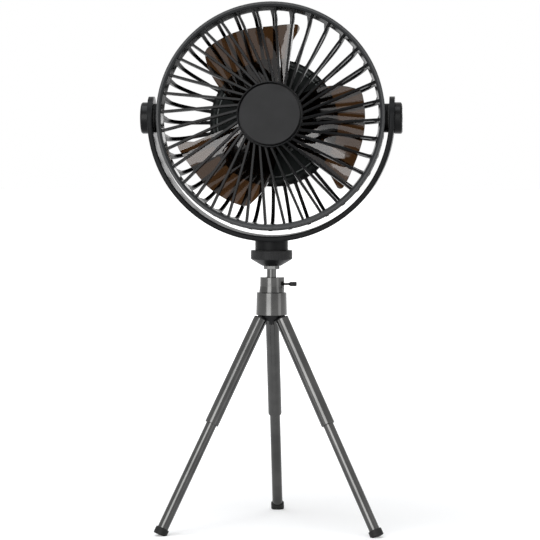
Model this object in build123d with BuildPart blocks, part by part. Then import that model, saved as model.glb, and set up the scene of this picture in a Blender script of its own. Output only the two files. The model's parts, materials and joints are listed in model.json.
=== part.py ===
from build123d import *
from math import asin, cos, degrees, exp, log, radians, sin
import os

# Portable camping fan: a round caged fan head, tilting in a U bracket, on a folding telescopic mini tripod.
# Millimetres, +Z up, the fan faces -Y. The origin is on the floor under the middle of the bounding box.

os.makedirs("parts", exist_ok=True)


def save(piece, name):
    """Label a finished piece and write it under its node name."""
    piece.part.label = name
    export_step(piece.part, f"parts/{name}.step")


# ---------------------------------------------------------------- driving dimensions
AXIS_Y = -22.1            # tripod axis, behind which the rear leg reaches furthest
RUN = 0.05                # radial or face clearance of a running fit

# fan head: radii about the fan axis, depths along it (+ is forward, 0 is the pivot axis)
PIVOT_HEIGHT = 306.9
HEAD_TILT = 7.5           # degrees the head looks up at rest
RING_RADIUS = 85.0
RING_FRONT = 17.0
RING_SPLIT = 9.0          # joint plane between the front grille and the rear basket
RING_FACE = 83.2          # inner edge of the front ring's flat face
RING_MOUTH = 81.4         # the face slopes in to this
RING_LIP = 15.9           # depth of the mouth
RING_THROAT = 80.2        # the ring narrows to this at the split
SPOKES = 36
FRONT_SKEW = 18.0         # degrees a front spoke swings on its way in
FRONT_PHASE = 2.0         # degrees from the top to the first front spoke's outer end, clockwise
SPOKE_FRONT = 1.65        # width of a front spoke's front face
SPOKE_BACK = 2.45         # width of its back face
SPOKE_DEPTH = 3.0
SPOKE_OUT = 15.2          # depth of a spoke's front face at the ring
SPOKE_IN = 20.6           # and at the centre rim
GRILLE_SCREW_ANGLES = (45, 135, 225, 315)
GRILLE_SCREW_CIRCLE = 82.5
GRILLE_SCREW_RADIUS = 1.0
GRILLE_SCREW_END = 14.0   # depth of the screw holes in the front ring
RIM_RADIUS = 24.6         # raised rim round the centre cap
RIM_INNER = 23.6
RIM_FRONT = 21.8
SEAT_BACK = 14.8
SEAT_FRONT = 17.2
CAP_RADIUS = 22.6
CAP_FRONT = 22.2

# rear basket
SLOT_REACH = 90.0         # the windows run out through the side wall
SLOT_INNER = 48.5
SLOT_CORNER = 1.0
WINDOW_END = 6.0          # the windows stop at the band behind the split
REAR_SPOKE = 2.6
BASKET_SHOULDER = 2.0     # the side wall is straight in front of this depth
BASKET_CORNER = 79.8      # outer radius where the side wall would meet the back
BASKET_WALL = 2.4
BASKET_FLOOR = -26.0      # inner face of the basket's flat back
BASKET_BACK = BASKET_FLOOR - BASKET_WALL
DRUM_RADIUS = 47.9
DRUM_INNER = 45.8         # bore at the housing's spigot
DRUM_BORE = 44.7          # bore behind it
DRUM_END_RADIUS = 46.5
DRUM_END = -44.0          # joint plane between the drum and the rear cover

# motor housing face, motor and impeller
FACE_FRONT = -18.4
FACE_RIM = 43.1
SHAFT_RADIUS = 1.5
HUB_RADIUS = 19.5
HUB_FRONT = 11.0
HUB_BACK = -14.5
BLADES = 3
BLADE_MIDDLE = -16.0      # degrees clockwise from the top to the middle of the first blade
BLADE_TIP = 69.9
BLADE_THICKNESS = 1.7
BLADE_HALF = 40.0         # half width of a blade section before it is trimmed
FLAT_SLOPE = 0.015        # of the nearly flat strip along a blade's clockwise edge
# blade sections: reach from the fan axis, slope of the pitched part,
# then the place, depth and softness of its bend
BLADE_SECTIONS = ((12, 0.50, -12, -6.5, 6.0), (34, 0.42, -1, -7.2, 6.0), (56, 0.38, 12, -8.0, 4.0),
                  (78, 0.36, 25, -8.8, 3.0))

# battery, electronics and rear cover
CELL_RADIUS = 9.2
CELL_LENGTH = 65.0
CELL_DEPTH = -34.0
CELL_PITCH = 19.2
BOARD_FRONT = -45.0
BOARD_BACK = -46.6
COVER_BACK = -56.0
COVER_END_RADIUS = 45.2
COVER_BORE = 44.2
COVER_SCREW_ANGLES = (0, 120, 240)
COVER_SCREW_CIRCLE = 42.6
COVER_BOSS = 2.8
SCREW_CORE = 1.25
LIGHT_OUTER = 40.0
LIGHT_INNER = 26.0
LIGHT_FLOOR = -52.4
BUTTON_RADIUS = 5.5
BUTTON_OFFSET = 11.0
BUTTON_TRAVEL = 0.8

# pivots and bracket
LUG_RADIUS = 10.75
LUG_BACK = 82.4
LUG_FACE = 86.9
BRACKET_INNER = 87.8
BRACKET_WALL = 4.0
BRACKET_WIDTH = 32.0
CAP_KNOB_RADIUS = 11.75
CAP_KNOB_FACE = 97.5
PIVOT_STUB = 4.95

# ball head, heights above the floor
BOSS_BOTTOM = 208.7
BOSS_RADIUS = 12.3
STUD_RADIUS = 3.1
DISC_TOP = 208.3
DISC_EDGE = 201.6
DISC_BOTTOM = 196.75
DISC_RADIUS = 15.5
FLANGE_TOP = 196.7
FLANGE_BOTTOM = 194.2
FLANGE_RADIUS = 5.9       # to the corners of the six-sided flange
NECK_RADIUS = 3.55
BALL_RADIUS = 5.8
BALL_HEIGHT = 182.0
HOUSING_TOP = 188.1
HOUSING_BASE = 176.9
LOCK_HEIGHT = 183.0
LOCK_PAD = 9.4            # the flat pad round the lock screw stands this far from the tripod axis
LOCK_PAD_FLAT = 2.4       # its width at the face, and at its foot on the housing wall
LOCK_PAD_FOOT = 8.0
LOCK_PAD_ROOT = 7.6

# crown and legs
CROWN_TOP = 176.85
CROWN_BOTTOM = 160.0
CROWN_BORE = 10.6
HINGE_HEIGHT = 162.7
HINGE_RADIUS = 6.24
LEG_ANGLE = 28.0          # degrees each open leg leans out
LEG_AZIMUTHS = {"left": 211.0, "right": 331.0, "rear": 91.0}
TUBE_RADIUS = 5.2
TUBE_BORE = 4.6
TUBE_START = 6.6          # distances along a leg from its hinge pin
TUBE_END = 93.3
LOWER_RADIUS = 4.0
LOWER_START = 81.3
LOWER_END = 181.0
CRIMP_LENGTH = 6.0
FOOT_RADIUS = 5.1
FOOT_START = 178.2
FOOT_END = 183.6

# ---------------------------------------------------------------- planes and axes
PIVOT = Vector(0, AXIS_Y, PIVOT_HEIGHT)
FORWARD = Vector(0, -cos(radians(HEAD_TILT)), sin(radians(HEAD_TILT)))
HEAD = Plane(origin=PIVOT, x_dir=(1, 0, 0), z_dir=FORWARD)
HEAD_SIDE = Plane(origin=PIVOT, x_dir=(1, 0, 0), z_dir=(0, -FORWARD.Z, FORWARD.Y))
FAN_AXIS = Axis(PIVOT, FORWARD)
FRONT = Plane(origin=PIVOT, x_dir=(1, 0, 0), z_dir=(0, -1, 0))
ACROSS = Plane(origin=PIVOT, x_dir=(0, 1, 0), z_dir=(1, 0, 0))
COLUMN_SIDE = Plane(origin=(0, AXIS_Y, 0), x_dir=(1, 0, 0), z_dir=(0, -1, 0))
COLUMN_AXIS = Axis((0, AXIS_Y, 0), (0, 0, 1))


def at_height(height):
    """Horizontal plane on the tripod axis."""
    return Plane(origin=(0, AXIS_Y, height), x_dir=(1, 0, 0), z_dir=(0, 0, 1))


def clock(radius, angle):
    """Point at a radius and an angle clockwise from the top, seen from the front."""
    return radius * sin(radians(angle)), radius * cos(radians(angle))


def annulus(plane, outer, inner):
    """Flat ring on a plane, ready to extrude."""
    with BuildSketch(plane) as ring:
        Circle(outer)
        Circle(inner, mode=Mode.SUBTRACT)
    return ring.sketch


def round_slot(plane, width, height, radius):
    """Rectangle with round corners on a plane, ready to extrude."""
    with BuildSketch(plane) as slot:
        RectangleRounded(width, height, radius)
    return slot.sketch


# ---------------------------------------------------------------- front grille
spoke_start = HEAD.from_local_coords(Vector(*clock(RIM_INNER - 2, FRONT_PHASE + FRONT_SKEW), SPOKE_IN))
spoke_end = HEAD.from_local_coords(Vector(*clock(RING_MOUTH + 0.6, FRONT_PHASE), SPOKE_OUT))
spoke_run = spoke_end - spoke_start

with BuildPart() as front_spoke:
    with BuildSketch(Plane(origin=spoke_start, x_dir=FORWARD.cross(spoke_run), z_dir=spoke_run)):
        Polygon((-SPOKE_BACK / 2, -SPOKE_DEPTH), (SPOKE_BACK / 2, -SPOKE_DEPTH), (SPOKE_FRONT / 2, 0),
                (-SPOKE_FRONT / 2, 0), align=None)
    extrude(amount=spoke_run.length)

with BuildPart() as front_grille:
    for index in range(SPOKES):
        add(front_spoke.part.rotate(FAN_AXIS, index * 360 / SPOKES))
    with BuildSketch(HEAD):
        Circle(RIM_INNER + 0.3)
    extrude(amount=2 * SPOKE_IN, mode=Mode.SUBTRACT)
    with BuildSketch(HEAD_SIDE) as bezel:
        Polygon((RING_RADIUS, RING_SPLIT), (RING_RADIUS, RING_FRONT), (RING_FACE, RING_FRONT),
                (RING_MOUTH, RING_LIP), (RING_THROAT, RING_SPLIT), align=None)
        fillet(bezel.vertices().sort_by_distance((RING_RADIUS, RING_FRONT))[0], 0.7)
        fillet(bezel.vertices().sort_by_distance((RING_FACE, RING_FRONT))[0], 0.3)
        fillet(bezel.vertices().sort_by_distance((RING_MOUTH, RING_LIP))[0], 0.3)
    revolve(axis=FAN_AXIS)
    with BuildSketch(HEAD_SIDE) as seat:
        Polygon((0, SEAT_BACK), (RIM_RADIUS, SEAT_BACK), (RIM_RADIUS, RIM_FRONT), (RIM_INNER, RIM_FRONT),
                (RIM_INNER, SEAT_FRONT), (0, SEAT_FRONT), align=None)
        fillet(seat.vertices().sort_by_distance((RIM_RADIUS, RIM_FRONT))[:2], 0.45)
    revolve(axis=FAN_AXIS)
    with BuildSketch(HEAD.offset(RING_SPLIT)):
        with Locations(*[clock(GRILLE_SCREW_CIRCLE, a) for a in GRILLE_SCREW_ANGLES]):
            Circle(GRILLE_SCREW_RADIUS)
    extrude(amount=GRILLE_SCREW_END - RING_SPLIT, mode=Mode.SUBTRACT)
save(front_grille, "front_grille")

with BuildPart() as grille_cap:
    with BuildSketch(HEAD_SIDE) as crowned:
        with BuildLine():
            Line((0, SEAT_FRONT), (CAP_RADIUS, SEAT_FRONT))
            Line((CAP_RADIUS, SEAT_FRONT), (CAP_RADIUS, CAP_FRONT - 0.5))
            ThreePointArc((CAP_RADIUS, CAP_FRONT - 0.5), (15.0, CAP_FRONT - 0.15), (6.0, CAP_FRONT))
            Polyline((6.0, CAP_FRONT), (0, CAP_FRONT), (0, SEAT_FRONT))
        make_face()
        fillet(crowned.vertices().sort_by_distance((CAP_RADIUS, CAP_FRONT))[0], 0.7)
    revolve(axis=FAN_AXIS)
save(grille_cap, "grille_cap")

# ---------------------------------------------------------------- rear basket with its drum
with BuildSketch(HEAD.offset(BASKET_BACK - 2)) as slots:
    half_pitch = 180 / SPOKES
    outer_half = half_pitch - degrees(asin(REAR_SPOKE / 2 / SLOT_REACH))
    inner_half = half_pitch - degrees(asin(REAR_SPOKE / 2 / SLOT_INNER))
    with BuildLine():
        Polyline(clock(SLOT_INNER, inner_half), clock(SLOT_REACH, outer_half), clock(SLOT_REACH, -outer_half),
                 clock(SLOT_INNER, -inner_half))
        ThreePointArc(clock(SLOT_INNER, -inner_half), clock(SLOT_INNER, 0), clock(SLOT_INNER, inner_half))
    make_face()
    fillet(slots.vertices().sort_by(Axis.Y)[:2], SLOT_CORNER)

with BuildPart() as rear_grille:
    with BuildSketch(HEAD_SIDE) as basket:
        Polygon((RING_RADIUS, RING_SPLIT), (RING_THROAT, RING_SPLIT), (77.2, BASKET_FLOOR),
                (DRUM_INNER, BASKET_FLOOR), (DRUM_INNER, -32.0), (DRUM_BORE, -33.0), (DRUM_BORE, DRUM_END),
                (DRUM_END_RADIUS, DRUM_END), (DRUM_RADIUS, BASKET_BACK), (BASKET_CORNER, BASKET_BACK),
                (RING_RADIUS, BASKET_SHOULDER), align=None)
        fillet(basket.vertices().sort_by_distance((77.2, BASKET_FLOOR))[0], 16.0)
        fillet(basket.vertices().sort_by_distance((BASKET_CORNER, BASKET_BACK))[0], 18.4)
        fillet(basket.vertices().sort_by_distance((RING_RADIUS, BASKET_SHOULDER))[0], 5.0)
    revolve(axis=FAN_AXIS)
    for index in range(SPOKES):
        add(slots.sketch.rotate(FAN_AXIS, (index + 0.5) * 360 / SPOKES))
    extrude(amount=WINDOW_END - (BASKET_BACK - 2), dir=FORWARD, mode=Mode.SUBTRACT)
    # holes for the four screws that hold the front grille
    with BuildSketch(HEAD.offset(WINDOW_END)):
        with Locations(*[clock(GRILLE_SCREW_CIRCLE, a) for a in GRILLE_SCREW_ANGLES]):
            Circle(GRILLE_SCREW_RADIUS)
    extrude(amount=RING_SPLIT - WINDOW_END, mode=Mode.SUBTRACT)
    # pivot lugs, one each side
    for side in (1, -1):
        with BuildSketch(ACROSS.offset(side * LUG_FACE)):
            Circle(LUG_RADIUS)
        extrude(amount=-side * (LUG_FACE - LUG_BACK))
    with BuildSketch(HEAD.offset(RING_SPLIT)):
        Circle(RING_RADIUS + RUN)
    extrude(amount=RING_FRONT, mode=Mode.SUBTRACT)
    for side in (1, -1):
        with BuildSketch(ACROSS.offset(side * LUG_FACE)):
            Circle(SHAFT_RADIUS)
        extrude(amount=-side * (LUG_FACE - LUG_BACK), mode=Mode.SUBTRACT)
    # bosses for the rear cover's screws
    with BuildSketch(HEAD.offset(DRUM_END)):
        with Locations(*[clock(COVER_SCREW_CIRCLE, a) for a in COVER_SCREW_ANGLES]):
            Circle(COVER_BOSS)
    extrude(amount=11.4)
    with BuildSketch(HEAD.offset(DRUM_END)):
        with Locations(*[clock(COVER_SCREW_CIRCLE, a) for a in COVER_SCREW_ANGLES]):
            Circle(SCREW_CORE)
    extrude(amount=9.0, mode=Mode.SUBTRACT)
save(rear_grille, "rear_grille")

with BuildPart() as grille_screws:
    with BuildSketch(HEAD.offset(WINDOW_END)):
        with Locations(*[clock(GRILLE_SCREW_CIRCLE, a) for a in GRILLE_SCREW_ANGLES]):
            Circle(GRILLE_SCREW_RADIUS)
    extrude(amount=GRILLE_SCREW_END - WINDOW_END - 0.5)
    with BuildSketch(HEAD.offset(WINDOW_END)):
        with Locations(*[clock(GRILLE_SCREW_CIRCLE, a) for a in GRILLE_SCREW_ANGLES]):
            Circle(1.9)
            RegularPolygon(0.9, 6, mode=Mode.SUBTRACT)
    extrude(amount=-1.3)
save(grille_screws, "grille_screws")

# ---------------------------------------------------------------- motor housing face
SNAP_ANGLES = (43, 133, 223, 313)
FACE_BACK = FACE_FRONT - 2.0
VENT_ANGLES = (128, 138.5, 149)
VENT_REACH = 24.2
VENT_FRAME = (4.4, 3.9)   # raised frame round each window, along and across its reach
VENT_HOLE = (3.2, 2.7)
RIM_LIP = (41.9, 42.7)    # raised line just inside the face's edge
FACE_RELIEF = 0.5
TUBE_OUTER = 5.5

with BuildPart() as housing_face:
    with BuildSketch(HEAD_SIDE):
        Polygon((TUBE_OUTER + RUN, FACE_FRONT), (FACE_RIM, FACE_FRONT), (FACE_RIM + 1.3, FACE_FRONT - 0.8),
                (47.0, -25.0), (47.4, BASKET_FLOOR), (DRUM_INNER - RUN, BASKET_FLOOR),
                (DRUM_INNER - RUN, -31.5), (44.1, -31.5), (44.1, -26.0), (41.8, FACE_BACK),
                (TUBE_OUTER + RUN, FACE_BACK), align=None)
    revolve(axis=FAN_AXIS)
    extrude(annulus(HEAD.offset(FACE_FRONT - 0.2), RIM_LIP[1], RIM_LIP[0]), amount=FACE_RELIEF + 0.2)
    with BuildSketch(HEAD.offset(FACE_FRONT - 0.2)):
        for angle in VENT_ANGLES:
            with Locations(Location((*clock(VENT_REACH, angle), 0), (0, 0, 90 - angle))):
                Rectangle(*VENT_FRAME)
    extrude(amount=FACE_RELIEF + 0.2)
    # slits each side of the four snap tabs
    with BuildSketch(HEAD.offset(-27.0)):
        for angle in SNAP_ANGLES:
            for side in (-4.5, 4.5):
                with Locations(Location((*clock(44.5, angle + side), 0), (0, 0, 90 - angle - side))):
                    Rectangle(7.0, 1.0)
    extrude(amount=9.5, mode=Mode.SUBTRACT)
    # cable windows beside the motor
    with BuildSketch(HEAD.offset(FACE_BACK)):
        for angle in VENT_ANGLES:
            with Locations(Location((*clock(VENT_REACH, angle), 0), (0, 0, 90 - angle))):
                Rectangle(*VENT_HOLE)
    extrude(amount=FACE_FRONT - FACE_BACK + FACE_RELIEF, mode=Mode.SUBTRACT)
    with BuildSketch(HEAD.offset(FACE_BACK)):
        with PolarLocations(10.0, 3):
            Circle(1.1)
    extrude(amount=1.5, mode=Mode.SUBTRACT)
save(housing_face, "housing_face")

# ---------------------------------------------------------------- motor
with BuildPart() as motor_base:
    with BuildSketch(HEAD_SIDE):
        Polygon((TUBE_OUTER, -1.0), (4.0, -1.0), (4.0, -5.0), (3.2, -5.0), (3.2, -16.0), (4.0, -16.0),
                (4.0, -20.0), (2.0, -20.0), (2.0, -22.6), (13.0, -22.6), (13.0, FACE_BACK),
                (TUBE_OUTER, FACE_BACK), align=None)
    revolve(axis=FAN_AXIS)
    with BuildSketch(HEAD.offset(-22.6)):
        with PolarLocations(10.0, 3):
            Circle(1.1)
    extrude(amount=3.0, mode=Mode.SUBTRACT)
save(motor_base, "motor_base")

with BuildPart() as motor_screws:
    with BuildSketch(HEAD.offset(-22.6)):
        with PolarLocations(10.0, 3):
            Circle(1.1)
    extrude(amount=3.6)
    with BuildSketch(HEAD.offset(-22.6)):
        with PolarLocations(10.0, 3):
            Circle(2.0)
            RegularPolygon(0.9, 6, mode=Mode.SUBTRACT)
    extrude(amount=-1.4)
save(motor_screws, "motor_screws")

with BuildPart() as motor_bearings:
    for depth in (-5.0, -20.0):
        extrude(annulus(HEAD.offset(depth), 4.0, SHAFT_RADIUS + RUN), amount=4.0)
save(motor_bearings, "motor_bearings")

STATOR_BACK = -11.5
STATOR_STACK = 8.0
TEETH = 9
with BuildPart() as stator_core:
    with BuildSketch(HEAD.offset(STATOR_BACK)):
        Circle(13.2)
        Circle(11.7, mode=Mode.SUBTRACT)
        with PolarLocations(13.0, TEETH, start_angle=180 / TEETH):
            Rectangle(5.0, 1.8, mode=Mode.SUBTRACT)
        Circle(7.2)
        with PolarLocations(9.5, TEETH):
            Rectangle(5.6, 2.0)
        Circle(TUBE_OUTER, mode=Mode.SUBTRACT)
    extrude(amount=STATOR_STACK)
save(stator_core, "stator_core")

with BuildPart() as stator_windings:
    with BuildSketch(HEAD.offset(STATOR_BACK - 1.6)):
        with PolarLocations(9.5, TEETH):
            RectangleRounded(4.0, 4.2, 0.9)
    extrude(amount=STATOR_STACK + 3.2)
    with BuildSketch(HEAD.offset(STATOR_BACK)):
        with PolarLocations(9.5, TEETH):
            Rectangle(6.0, 2.0)
    extrude(amount=STATOR_STACK, mode=Mode.SUBTRACT)
save(stator_windings, "stator_windings")

# ---------------------------------------------------------------- impeller and rotor
CAN_RADIUS = 16.6
CAN_FRONT = 1.5
MAGNET_OUTER = 15.5


def blade_section(reach, slope, bend, depth, softness):
    """Thin curved strip across the blade, square to its middle line at this reach from the fan axis."""
    angle = radians(90 - BLADE_MIDDLE)
    out = HEAD.x_dir * cos(angle) + HEAD.y_dir * sin(angle)
    along = HEAD.x_dir * sin(angle) - HEAD.y_dir * cos(angle)

    def side(offset):
        """Points of one face: it slopes down to the bend and is nearly flat after it."""
        points = []
        for step in range(-4, 5):
            x = step * BLADE_HALF / 4
            bent = (slope - FLAT_SLOPE) * softness * log(1 + exp((x - bend) / softness))
            points.append((x, depth - slope * (x - bend) + bent + offset))
        return points

    front = side(BLADE_THICKNESS / 2)
    back = side(-BLADE_THICKNESS / 2)
    with BuildSketch(Plane(origin=PIVOT + out * reach, x_dir=along, z_dir=-out)) as strip:
        with BuildLine():
            Spline(*front)
            Line(front[-1], back[-1])
            Spline(*back)
            Line(back[0], front[0])
        make_face()
    return strip.sketch


LEAD_CORNER = clock(74.6, 17.0)
TRAIL_CORNER = clock(BLADE_TIP, -45.5)
with BuildSketch(HEAD.offset(-30)) as blade_outline:
    with BuildLine():
        Spline(clock(17, 27), clock(38, 17.5), clock(61, 14.0))
        Line(clock(61, 14.0), LEAD_CORNER)
        Spline(LEAD_CORNER, clock(72.8, 9.0), clock(70.6, 0), clock(BLADE_TIP, BLADE_MIDDLE),
               clock(BLADE_TIP, -31), TRAIL_CORNER)
        Spline(TRAIL_CORNER, clock(52, -56.5), clock(34, -66), clock(17, -78))
        Line(clock(17, -78), clock(17, 27))
    make_face()
    fillet(blade_outline.vertices().sort_by_distance(LEAD_CORNER)[0], 3.0)
    fillet(blade_outline.vertices().sort_by_distance(TRAIL_CORNER)[0], 7.0)

with BuildPart() as blade:
    for section in BLADE_SECTIONS:
        add(blade_section(*section))
    loft()
    add(blade_outline.sketch)
    extrude(amount=60, dir=FORWARD, mode=Mode.INTERSECT)
    with BuildSketch(HEAD.offset(-40)):
        Circle(HUB_RADIUS - 1.0)
    extrude(amount=80, mode=Mode.SUBTRACT)

with BuildPart() as impeller:
    with BuildSketch(HEAD_SIDE):
        Polygon((HUB_RADIUS, HUB_BACK), (HUB_RADIUS, 6.0), (14.5, HUB_FRONT), (4.0, HUB_FRONT), (4.0, 8.5),
                (SHAFT_RADIUS, 8.5), (SHAFT_RADIUS, CAN_FRONT), (4.5, CAN_FRONT), (4.5, 7.0), (14.0, 9.0),
                (17.3, 5.5), (17.3, CAN_FRONT), (CAN_RADIUS, CAN_FRONT), (CAN_RADIUS, HUB_BACK), align=None)
    revolve(axis=FAN_AXIS)
    for index in range(BLADES):
        add(blade.part.rotate(FAN_AXIS, index * 360 / BLADES))
save(impeller, "impeller")

with BuildPart() as rotor_can:
    with BuildSketch(HEAD_SIDE):
        Polygon((CAN_RADIUS, -13.6), (CAN_RADIUS, CAN_FRONT), (SHAFT_RADIUS, CAN_FRONT), (SHAFT_RADIUS, 0.4),
                (MAGNET_OUTER, 0.4), (MAGNET_OUTER, -13.6), align=None)
    revolve(axis=FAN_AXIS)
save(rotor_can, "rotor_can")

with BuildPart() as rotor_magnet:
    extrude(annulus(HEAD.offset(-12.6), MAGNET_OUTER, 13.7), amount=10.6)
save(rotor_magnet, "rotor_magnet")

with BuildPart() as motor_shaft:
    with BuildSketch(HEAD.offset(-19.6)):
        Circle(SHAFT_RADIUS)
    extrude(amount=30.5)
save(motor_shaft, "motor_shaft")

with BuildPart() as impeller_nut:
    with BuildSketch(HEAD.offset(8.5)):
        RegularPolygon(3.18, 6)
        Circle(SHAFT_RADIUS, mode=Mode.SUBTRACT)
    extrude(amount=2.3)
save(impeller_nut, "impeller_nut")

# ---------------------------------------------------------------- battery
CELL_ROWS = (-CELL_PITCH, 0, CELL_PITCH)
cell_plane = Plane(origin=PIVOT, x_dir=HEAD.y_dir, z_dir=HEAD.x_dir)      # local x is up, local y is back

with BuildPart() as battery_cells:
    with BuildSketch(cell_plane.offset(-CELL_LENGTH / 2)):
        with Locations(*[(row, CELL_DEPTH) for row in CELL_ROWS]):
            Circle(CELL_RADIUS)
    extrude(amount=CELL_LENGTH)
    chamfer(battery_cells.edges().filter_by(GeomType.CIRCLE), 0.6)
save(battery_cells, "battery_cells")

with BuildPart() as battery_tray:
    with BuildSketch(HEAD.offset(-44.4)):
        RectangleRounded(66.0, 56.0, 6.0)
        for angle in COVER_SCREW_ANGLES:
            with Locations(clock(COVER_SCREW_CIRCLE, angle)):
                Circle(4.0, mode=Mode.SUBTRACT)
    extrude(amount=7.4)
    with BuildSketch(cell_plane.offset(-40)):
        with Locations(*[(row, CELL_DEPTH) for row in CELL_ROWS]):
            Circle(CELL_RADIUS + 0.1)
    extrude(amount=80, mode=Mode.SUBTRACT)
save(battery_tray, "battery_tray")

with BuildPart() as battery_tabs:
    for side in (-1, 1):
        with BuildSketch(cell_plane.offset(side * CELL_LENGTH / 2)):
            with Locations((0, CELL_DEPTH)):
                RectangleRounded(2 * CELL_PITCH + 8, 6.0, 1.0)
        extrude(amount=side * 0.4)
save(battery_tabs, "battery_tabs")

# ---------------------------------------------------------------- circuit board, switches, port
with BuildPart() as circuit_board:
    with BuildSketch(HEAD.offset(BOARD_BACK)):
        Circle(43.0)
        for angle in COVER_SCREW_ANGLES:
            with Locations(clock(COVER_SCREW_CIRCLE, angle)):
                Circle(4.0, mode=Mode.SUBTRACT)
    extrude(amount=BOARD_FRONT - BOARD_BACK)
save(circuit_board, "circuit_board")

with BuildPart() as tactile_switches:
    with BuildSketch(HEAD.offset(BOARD_BACK)):
        with Locations((0, BUTTON_OFFSET), (0, -BUTTON_OFFSET)):
            RectangleRounded(6.0, 6.0, 0.4)
    extrude(amount=-3.4)
    with BuildSketch(HEAD.offset(BOARD_BACK - 3.4)):
        with Locations((0, BUTTON_OFFSET), (0, -BUTTON_OFFSET)):
            Circle(1.75)
    extrude(amount=-2.0)
save(tactile_switches, "tactile_switches")

PORT_DEPTH = BOARD_BACK - 1.6
PORT_BACK = 38.6
PORT_MOUTH = 45.8         # distance below the fan axis, just inside the cover's wall
port_plane = Plane(origin=PIVOT + FORWARD * PORT_DEPTH, x_dir=HEAD.x_dir, z_dir=-HEAD.y_dir)
with BuildPart() as usb_port:
    extrude(round_slot(port_plane.offset(PORT_BACK), 8.94, 3.2, 1.59), amount=PORT_MOUTH - PORT_BACK)
    extrude(round_slot(port_plane.offset(PORT_BACK + 1), 8.3, 2.56, 1.27), amount=10, mode=Mode.SUBTRACT)
    with BuildSketch(port_plane.offset(PORT_BACK + 1)):
        Rectangle(6.7, 0.7)
    extrude(amount=4.6)
save(usb_port, "usb_port")

# ---------------------------------------------------------------- rear cover with light and buttons
with BuildPart() as rear_cover:
    with BuildSketch(HEAD_SIDE) as cover_profile:
        Polygon((DRUM_END_RADIUS, DRUM_END), (COVER_END_RADIUS, COVER_BACK), (LIGHT_OUTER, COVER_BACK),
                (LIGHT_OUTER, LIGHT_FLOOR), (LIGHT_INNER, LIGHT_FLOOR), (LIGHT_INNER, COVER_BACK),
                (0, COVER_BACK), (0, COVER_BACK + 2), (LIGHT_INNER - 2, COVER_BACK + 2),
                (LIGHT_INNER - 2, LIGHT_FLOOR + 2), (COVER_BORE, LIGHT_FLOOR + 2), (COVER_BORE, DRUM_END),
                align=None)
        fillet(cover_profile.vertices().sort_by_distance((COVER_END_RADIUS, COVER_BACK))[0], 1.6)
        fillet(cover_profile.vertices().sort_by_distance((LIGHT_INNER, COVER_BACK))[0], 0.8)
    revolve(axis=FAN_AXIS)
    with BuildSketch(HEAD.offset(DRUM_END)):
        with Locations(*[clock(COVER_SCREW_CIRCLE, a) for a in COVER_SCREW_ANGLES]):
            Circle(COVER_BOSS)
    extrude(amount=LIGHT_FLOOR + 2 - DRUM_END)
    with BuildSketch(HEAD.offset(DRUM_END)):
        with Locations(*[clock(COVER_SCREW_CIRCLE, a) for a in COVER_SCREW_ANGLES]):
            Circle(SCREW_CORE + 0.1)
    extrude(amount=COVER_BACK - DRUM_END, mode=Mode.SUBTRACT)
    with BuildSketch(HEAD.offset(COVER_BACK)):
        with Locations(*[clock(COVER_SCREW_CIRCLE, a) for a in COVER_SCREW_ANGLES]):
            Circle(2.1)
    extrude(amount=1.6, mode=Mode.SUBTRACT)
    with BuildSketch(HEAD.offset(COVER_BACK)):
        with Locations((0, BUTTON_OFFSET), (0, -BUTTON_OFFSET)):
            Circle(BUTTON_RADIUS + 0.1)
        with GridLocations(4.0, 1.0, 4, 1):
            Circle(0.9)
    extrude(amount=2.0, mode=Mode.SUBTRACT)
    extrude(round_slot(port_plane.offset(COVER_BORE - 1), 9.4, 3.6, 1.79), amount=8, mode=Mode.SUBTRACT)
save(rear_cover, "rear_cover")

with BuildPart() as cover_screws:
    with BuildSketch(HEAD.offset(COVER_BACK + 1.6)):
        with Locations(*[clock(COVER_SCREW_CIRCLE, a) for a in COVER_SCREW_ANGLES]):
            Circle(SCREW_CORE)
    extrude(amount=18.0)
    with BuildSketch(HEAD.offset(COVER_BACK + 1.6)):
        with Locations(*[clock(COVER_SCREW_CIRCLE, a) for a in COVER_SCREW_ANGLES]):
            Circle(2.0)
            RegularPolygon(1.0, 6, mode=Mode.SUBTRACT)
    extrude(amount=-1.5)
save(cover_screws, "cover_screws")

LIGHT_MIDDLE = (LIGHT_OUTER + LIGHT_INNER) / 2
with BuildPart() as light_board:
    extrude(annulus(HEAD.offset(LIGHT_FLOOR - 1.0), LIGHT_OUTER - 1.0, LIGHT_INNER + 1.0), amount=1.0)
save(light_board, "light_board")

with BuildPart() as light_chips:
    with BuildSketch(HEAD.offset(LIGHT_FLOOR - 1.0)):
        with PolarLocations(LIGHT_MIDDLE, 12):
            RectangleRounded(3.5, 2.8, 0.3)
    extrude(amount=-0.7)
save(light_chips, "light_chips")

with BuildPart() as light_diffuser:
    with BuildSketch(HEAD_SIDE) as lens:
        with BuildLine():
            lens_back = COVER_BACK - 0.2
            Polyline((LIGHT_INNER, lens_back), (LIGHT_INNER, LIGHT_FLOOR), (LIGHT_INNER + 1, LIGHT_FLOOR),
                     (LIGHT_INNER + 1, LIGHT_FLOOR - 2), (LIGHT_OUTER - 1, LIGHT_FLOOR - 2),
                     (LIGHT_OUTER - 1, LIGHT_FLOOR), (LIGHT_OUTER, LIGHT_FLOOR), (LIGHT_OUTER, lens_back))
            ThreePointArc((LIGHT_OUTER, lens_back), (LIGHT_MIDDLE, lens_back - 0.7), (LIGHT_INNER, lens_back))
        make_face()
    revolve(axis=FAN_AXIS)
save(light_diffuser, "light_diffuser")

with BuildPart() as charge_windows:
    with BuildSketch(HEAD.offset(COVER_BACK - 0.1)):
        with GridLocations(4.0, 1.0, 4, 1):
            Circle(0.9)
    extrude(amount=2.1)
save(charge_windows, "charge_windows")


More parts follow.
